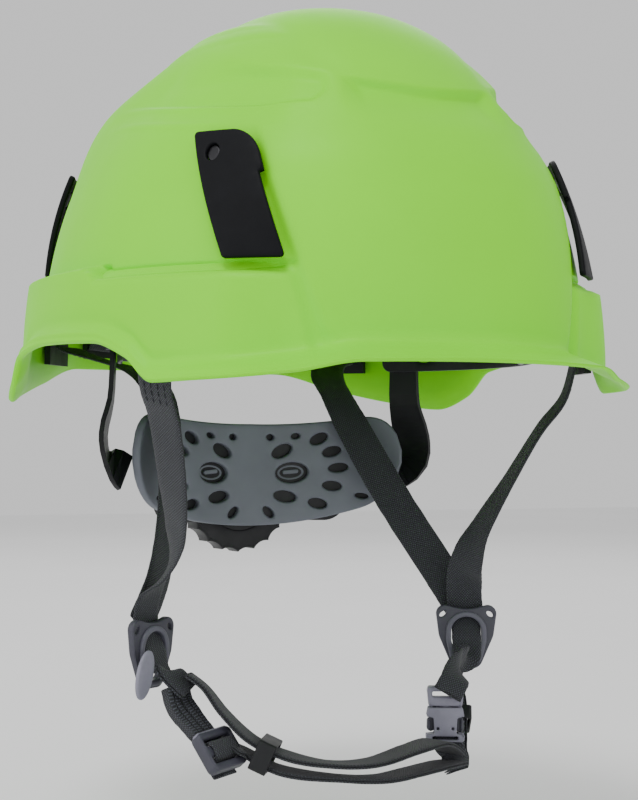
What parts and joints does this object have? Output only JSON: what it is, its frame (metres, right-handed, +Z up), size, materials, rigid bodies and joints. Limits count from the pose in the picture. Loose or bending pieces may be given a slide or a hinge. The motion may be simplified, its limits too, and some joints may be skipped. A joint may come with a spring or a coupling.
{
  "type": "arborist climbing helmet",
  "caption": "Safety helmet for tree work with a short brim, lamp clips, webbing harness, chin buckle and ratchet nape cradle.",
  "frame": {"origin": "centre of the head opening, level with the lower edge of the shell wall", "axes": "+Z up through the crown, -Y is the front of the helmet, +X is the wearer's left"},
  "size_m": [0.2266, 0.2876, 0.3092],
  "materials": {
    "shell_plastic": "smooth injection-moulded shell, soft gloss, bright yellow-green",
    "clip_plastic": "moulded nylon, smooth satin black",
    "black_plastic": "moulded nylon, fine grain",
    "grey_plastic": "moulded acetal, blue-grey satin",
    "webbing": "woven polyester webbing, charcoal",
    "nape_foam": "soft moulded elastomer pad, slate grey, perforated",
    "pad_fabric": "laminated foam with knitted face",
    "steel": "dark plated steel"
  },
  "bodies": {
    "helmet": {"shell": "shell_plastic", "suspension_key_front_left": "black_plastic", "suspension_key_middle_left": "black_plastic", "suspension_key_rear_left": "black_plastic", "suspension_key_front_right": "black_plastic", "suspension_key_middle_right": "black_plastic", "suspension_key_rear_right": "black_plastic", "cradle_strap_front_left": "webbing", "cradle_strap_middle": "webbing", "cradle_strap_rear_left": "webbing", "crown_pad": "pad_fabric", "headband": "black_plastic", "brow_pad": "pad_fabric", "front_anchor_left": "black_plastic", "rear_anchor_left": "black_plastic", "front_strap_left": "webbing", "side_adjuster_left": "grey_plastic", "front_anchor_right": "black_plastic", "rear_anchor_right": "black_plastic", "front_strap_right": "webbing", "side_adjuster_right": "grey_plastic", "rear_strap_left": "webbing", "rear_strap_right": "webbing", "chin_web_left": "webbing", "tail_left": "webbing", "chin_fold_right": "webbing", "tail_right": "webbing", "chin_web_upper": "webbing", "chin_web_lower": "webbing", "ladder_lock": "grey_plastic", "tail_keeper_left": "black_plastic", "adjuster_cover_right": "grey_plastic", "buckle_socket": "grey_plastic", "buckle_plug": "grey_plastic"},
    "nape_cradle": {"nape_arm_left": "black_plastic", "arm_pivot_left": "black_plastic", "nape_arm_right": "black_plastic", "arm_pivot_right": "black_plastic", "nape_pad": "nape_foam", "nape_carrier": "black_plastic", "ratchet_cover": "black_plastic", "cover_screw_right": "steel", "cover_screw_left": "steel"},
    "size_knob": {"ratchet_knob": "black_plastic", "ratchet_pinion": "black_plastic", "knob_screw": "steel"},
    "left_rack": {"rack_left": "black_plastic"},
    "right_rack": {"rack_right": "black_plastic"},
    "clip_front_left": {"lamp_clip_front_left": "clip_plastic", "clip_rivet_front_left": "steel"},
    "clip_rear_left": {"lamp_clip_rear_left": "clip_plastic", "clip_rivet_rear_left": "steel"},
    "clip_front_right": {"lamp_clip_front_right": "clip_plastic", "clip_rivet_front_right": "steel"},
    "clip_rear_right": {"lamp_clip_rear_right": "clip_plastic", "clip_rivet_rear_right": "steel"},
    "pinch_left": {"buckle_pinch_left": "grey_plastic"},
    "pinch_right": {"buckle_pinch_right": "grey_plastic"},
    "chin_keeper": {"chin_keeper": "black_plastic"}
  },
  "joints": [
    {"name": "cradle_tilt", "type": "hinge", "parent": "helmet", "child": "nape_cradle", "pos_m": [0, 0.05, 0.015], "axis": [1, 0, 0], "range_deg": [-3, 3.5]},
    {"name": "knob_turn", "type": "hinge", "parent": "nape_cradle", "child": "size_knob", "pos_m": [0, 0.07, -0.05], "axis": [0, 1, 0], "range_deg": [-150, 150]},
    {"name": "rack_left_slide", "type": "hinge", "parent": "nape_cradle", "child": "left_rack", "pos_m": [0, -0.033, -0.05], "axis": [0, 0, 1], "range_deg": [-9, 9]},
    {"name": "rack_right_slide", "type": "hinge", "parent": "nape_cradle", "child": "right_rack", "pos_m": [0, -0.033, -0.05], "axis": [0, 0, 1], "range_deg": [-9, 9]},
    {"name": "clip_front_left_flex", "type": "hinge", "parent": "helmet", "child": "clip_front_left", "pos_m": [0.073, -0.05447, 0.08557], "axis": [-0.5506, -0.8347, 0], "range_deg": [0, 5], "stiffness_Nm_per_rad": 0.6},
    {"name": "clip_rear_left_flex", "type": "hinge", "parent": "helmet", "child": "clip_rear_left", "pos_m": [0.0737, 0.08514, 0.08558], "axis": [0.5214, -0.8533, 0], "range_deg": [0, 5], "stiffness_Nm_per_rad": 0.6},
    {"name": "clip_front_right_flex", "type": "hinge", "parent": "helmet", "child": "clip_front_right", "pos_m": [-0.073, -0.05447, 0.08557], "axis": [-0.5506, 0.8347, 0], "range_deg": [0, 5], "stiffness_Nm_per_rad": 0.6},
    {"name": "clip_rear_right_flex", "type": "hinge", "parent": "helmet", "child": "clip_rear_right", "pos_m": [-0.0737, 0.08514, 0.08558], "axis": [0.5214, 0.8533, 0], "range_deg": [0, 5], "stiffness_Nm_per_rad": 0.6},
    {"name": "pinch_left_press", "type": "hinge", "parent": "helmet", "child": "pinch_left", "pos_m": [0.05044, -0.02414, -0.13231], "axis": [0.4772, 0.8788, 0], "range_deg": [0, 7], "stiffness_Nm_per_rad": 0.02},
    {"name": "pinch_right_press", "type": "hinge", "parent": "helmet", "child": "pinch_right", "pos_m": [0.04256, -0.01986, -0.13231], "axis": [-0.4772, -0.8788, 0], "range_deg": [0, 7], "stiffness_Nm_per_rad": 0.02},
    {"name": "chin_keeper_slide", "type": "slide", "parent": "helmet", "child": "chin_keeper", "axis": [0.7403, -0.5402, -0.4002], "range_m": [-0.001, 0.003]}
  ],
  "couplings": [
    {"joint": "rack_left_slide", "follows": "knob_turn", "ratio": -0.058651},
    {"joint": "rack_right_slide", "follows": "knob_turn", "ratio": 0.058651}
  ]
}
